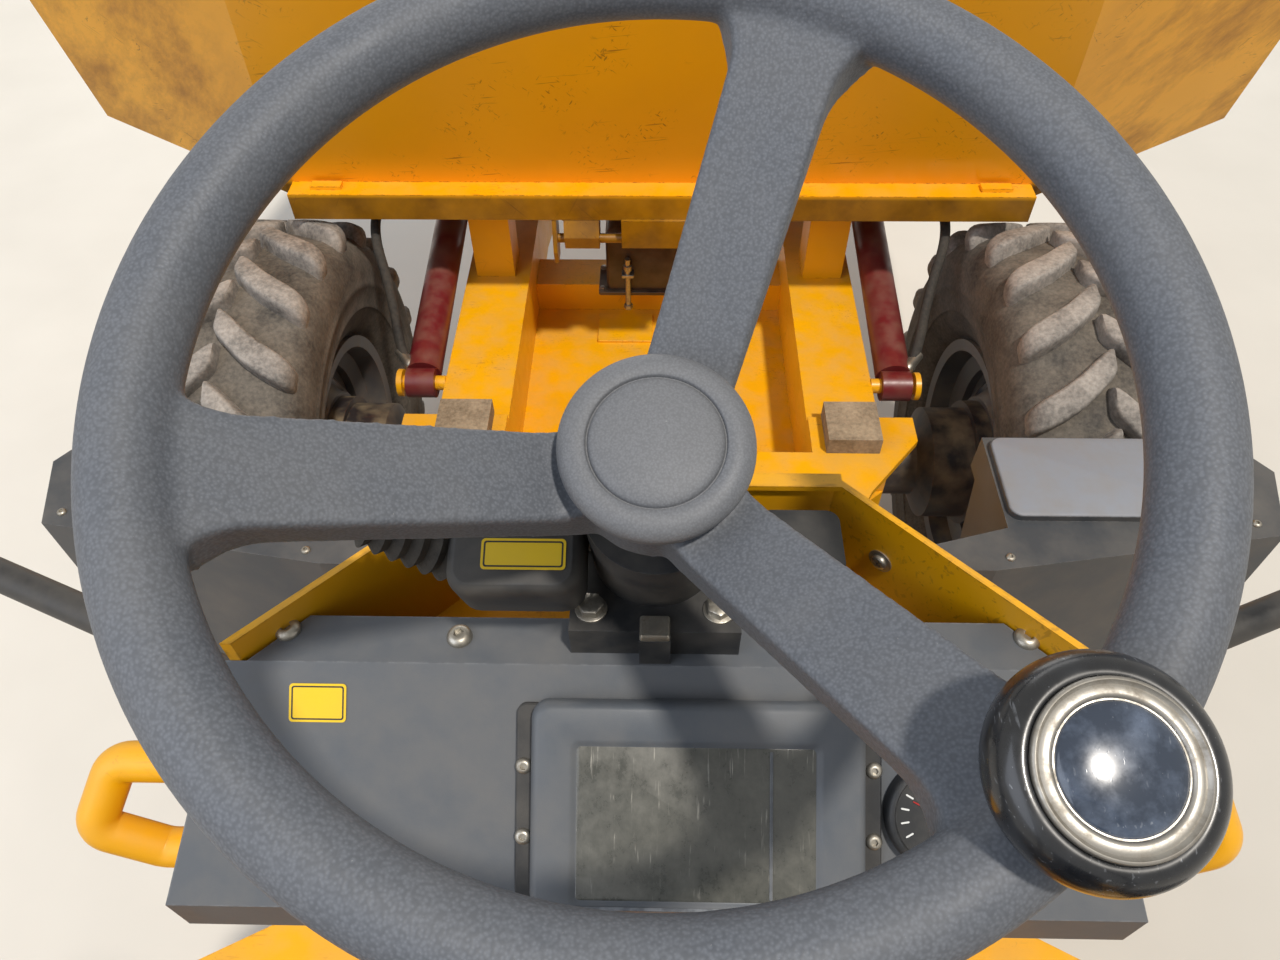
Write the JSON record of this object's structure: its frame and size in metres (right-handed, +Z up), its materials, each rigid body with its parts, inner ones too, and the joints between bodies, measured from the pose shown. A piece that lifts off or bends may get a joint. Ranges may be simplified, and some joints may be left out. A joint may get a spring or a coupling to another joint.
{
  "type": "articulated site dumper",
  "caption": "Articulated site dumper with a front-tipping skip, driven wheels, an open driving place with a console and a folding roll bar.",
  "frame": {"origin": "on the ground at the middle of the machine's length and width", "axes": "+Z up, the machine drives towards -Y, +X is the driver's left"},
  "size_m": [2.06, 4, 2.869],
  "materials": {
    "paint": "orange-yellow machine paint, dusty",
    "dash_coat": "dark grey powder coat",
    "guard_grey": "dark grey mudguards",
    "black_steel": "black coated steel",
    "axle_steel": "black axle paint with dust",
    "cast": "painted casting",
    "ram_red": "maroon cylinder paint",
    "rod_chrome": "hard chrome",
    "tyre": "dusty tyre rubber",
    "rim": "pale wheel paint, dirty",
    "rubber": "dusty rubber pad",
    "wheel_grip": "grained polymer, bluish grey",
    "cap": "smooth polymer",
    "knob_black": "black plastic",
    "knob_ring": "turned metal ring",
    "knob_dome": "scratched blue-black dome",
    "bezel": "grey housing",
    "screen": "dark screen",
    "gauge": "black gauge",
    "seat_vinyl": "black vinyl",
    "mirror_glass": "silvered glass",
    "lamp_red": "red lens",
    "beacon_amber": "amber lens"
  },
  "bodies": {
    "rear_chassis": {"rear_frame": "paint", "rear_axle": "axle_steel", "rear_counterweight": "cast", "engine": "cast", "side_panels": "paint", "side_tanks": "paint", "platform": "paint", "console_body": "paint", "dash_panel": "dash_coat", "display_housing": "bezel", "display_screen": "screen", "round_gauge": "gauge", "steering_column": "black_steel", "shuttle_lever": "black_steel", "side_loops": "paint", "mirror_arms": "black_steel", "mirror_glasses": "mirror_glass", "pedals": "black_steel", "seat_pedestal": "black_steel", "seat_cushion": "seat_vinyl", "seat_back": "seat_vinyl", "rops_posts": "black_steel", "rear_mudguards": "guard_grey", "rear_lamps": "lamp_red"},
    "front_chassis": {"front_frame": "paint", "front_axle": "axle_steel", "front_mudguards": "guard_grey", "rest_pads": "rubber"},
    "skip_body": {"skip": "paint"},
    "tip_barrel_l": {"tip_barrel_left": "ram_red"},
    "tip_barrel_r": {"tip_barrel_right": "ram_red"},
    "tip_rod_l": {"tip_rod_left": "rod_chrome"},
    "tip_rod_r": {"tip_rod_right": "rod_chrome"},
    "steer_cylinder": {"steer_barrel": "ram_red"},
    "steer_piston": {"steer_rod": "rod_chrome"},
    "bonnet_lid": {"bonnet": "paint"},
    "roll_bar": {"rops_hoop": "black_steel", "beacon": "beacon_amber"},
    "hand_wheel": {"steering_wheel": "wheel_grip", "hub_cap": "cap", "spinner_knob": "knob_black", "spinner_ring": "knob_ring", "spinner_dome": "knob_dome"},
    "wheel_front_left": {"tyre_front_left": "tyre", "rim_front_left": "rim"},
    "wheel_front_right": {"tyre_front_right": "tyre", "rim_front_right": "rim"},
    "wheel_rear_left": {"tyre_rear_left": "tyre", "rim_rear_left": "rim"},
    "wheel_rear_right": {"tyre_rear_right": "tyre", "rim_rear_right": "rim"}
  },
  "joints": [
    {"name": "articulation", "type": "hinge", "parent": "rear_chassis", "child": "front_chassis", "pos_m": [0, 0.23, 0.56], "axis": [0, 0, 1], "range_deg": [-30, 30]},
    {"name": "skip_tip", "type": "hinge", "parent": "front_chassis", "child": "skip_body", "pos_m": [0, -1.45, 0.56], "axis": [1, 0, 0], "range_deg": [0, 70]},
    {"name": "tip_swing_l", "type": "hinge", "parent": "front_chassis", "child": "tip_barrel_l", "pos_m": [0.446, -0.66, 0.69], "axis": [1, 0, 0], "range_deg": [-1, 5]},
    {"name": "tip_slide_l", "type": "slide", "parent": "tip_barrel_l", "child": "tip_rod_l", "axis": [0, -0.9922, 0.1244], "range_m": [-0.001, 0.27]},
    {"name": "tip_swing_r", "type": "hinge", "parent": "front_chassis", "child": "tip_barrel_r", "pos_m": [-0.446, -0.66, 0.69], "axis": [1, 0, 0], "range_deg": [-1, 5]},
    {"name": "tip_slide_r", "type": "slide", "parent": "tip_barrel_r", "child": "tip_rod_r", "axis": [0, -0.9922, 0.1244], "range_m": [-0.001, 0.27]},
    {"name": "steer_swing", "type": "hinge", "parent": "rear_chassis", "child": "steer_cylinder", "pos_m": [0.29, 0.7, 0.51], "axis": [0, 0, 1], "range_deg": [-12, 12]},
    {"name": "steer_slide", "type": "slide", "parent": "steer_cylinder", "child": "steer_piston", "axis": [0.0416, -0.9991, 0], "range_m": [-0.165, 0.165]},
    {"name": "bonnet_hinge", "type": "hinge", "parent": "rear_chassis", "child": "bonnet_lid", "pos_m": [0, 1.91, 1.244], "axis": [1, 0, 0], "range_deg": [-65, 0]},
    {"name": "roll_bar_fold", "type": "hinge", "parent": "rear_chassis", "child": "roll_bar", "pos_m": [0, 1.31, 1.75], "axis": [1, 0, 0], "range_deg": [-95, 0]},
    {"name": "steering_turn", "type": "hinge", "parent": "rear_chassis", "child": "hand_wheel", "pos_m": [0, 0.4, 1.72], "axis": [0, 0.3649, 0.9311], "continuous": true},
    {"name": "roll_front_left", "type": "hinge", "parent": "front_chassis", "child": "wheel_front_left", "pos_m": [0.72, -0.66, 0.475], "axis": [1, 0, 0], "continuous": true},
    {"name": "roll_front_right", "type": "hinge", "parent": "front_chassis", "child": "wheel_front_right", "pos_m": [-0.72, -0.66, 0.475], "axis": [1, 0, 0], "continuous": true},
    {"name": "roll_rear_left", "type": "hinge", "parent": "rear_chassis", "child": "wheel_rear_left", "pos_m": [0.72, 1.29, 0.475], "axis": [1, 0, 0], "continuous": true},
    {"name": "roll_rear_right", "type": "hinge", "parent": "rear_chassis", "child": "wheel_rear_right", "pos_m": [-0.72, 1.29, 0.475], "axis": [1, 0, 0], "continuous": true}
  ],
  "couplings": [
    {"joint": "tip_swing_l", "follows": "skip_tip", "ratio": 0.0579},
    {"joint": "tip_swing_r", "follows": "skip_tip", "ratio": 0.0579},
    {"joint": "tip_slide_l", "follows": "skip_tip", "m_per_rad": 0.2172},
    {"joint": "tip_slide_r", "follows": "skip_tip", "m_per_rad": 0.2172},
    {"joint": "steer_swing", "follows": "articulation", "ratio": 0.3687},
    {"joint": "steer_slide", "follows": "articulation", "m_per_rad": -0.3066}
  ]
}
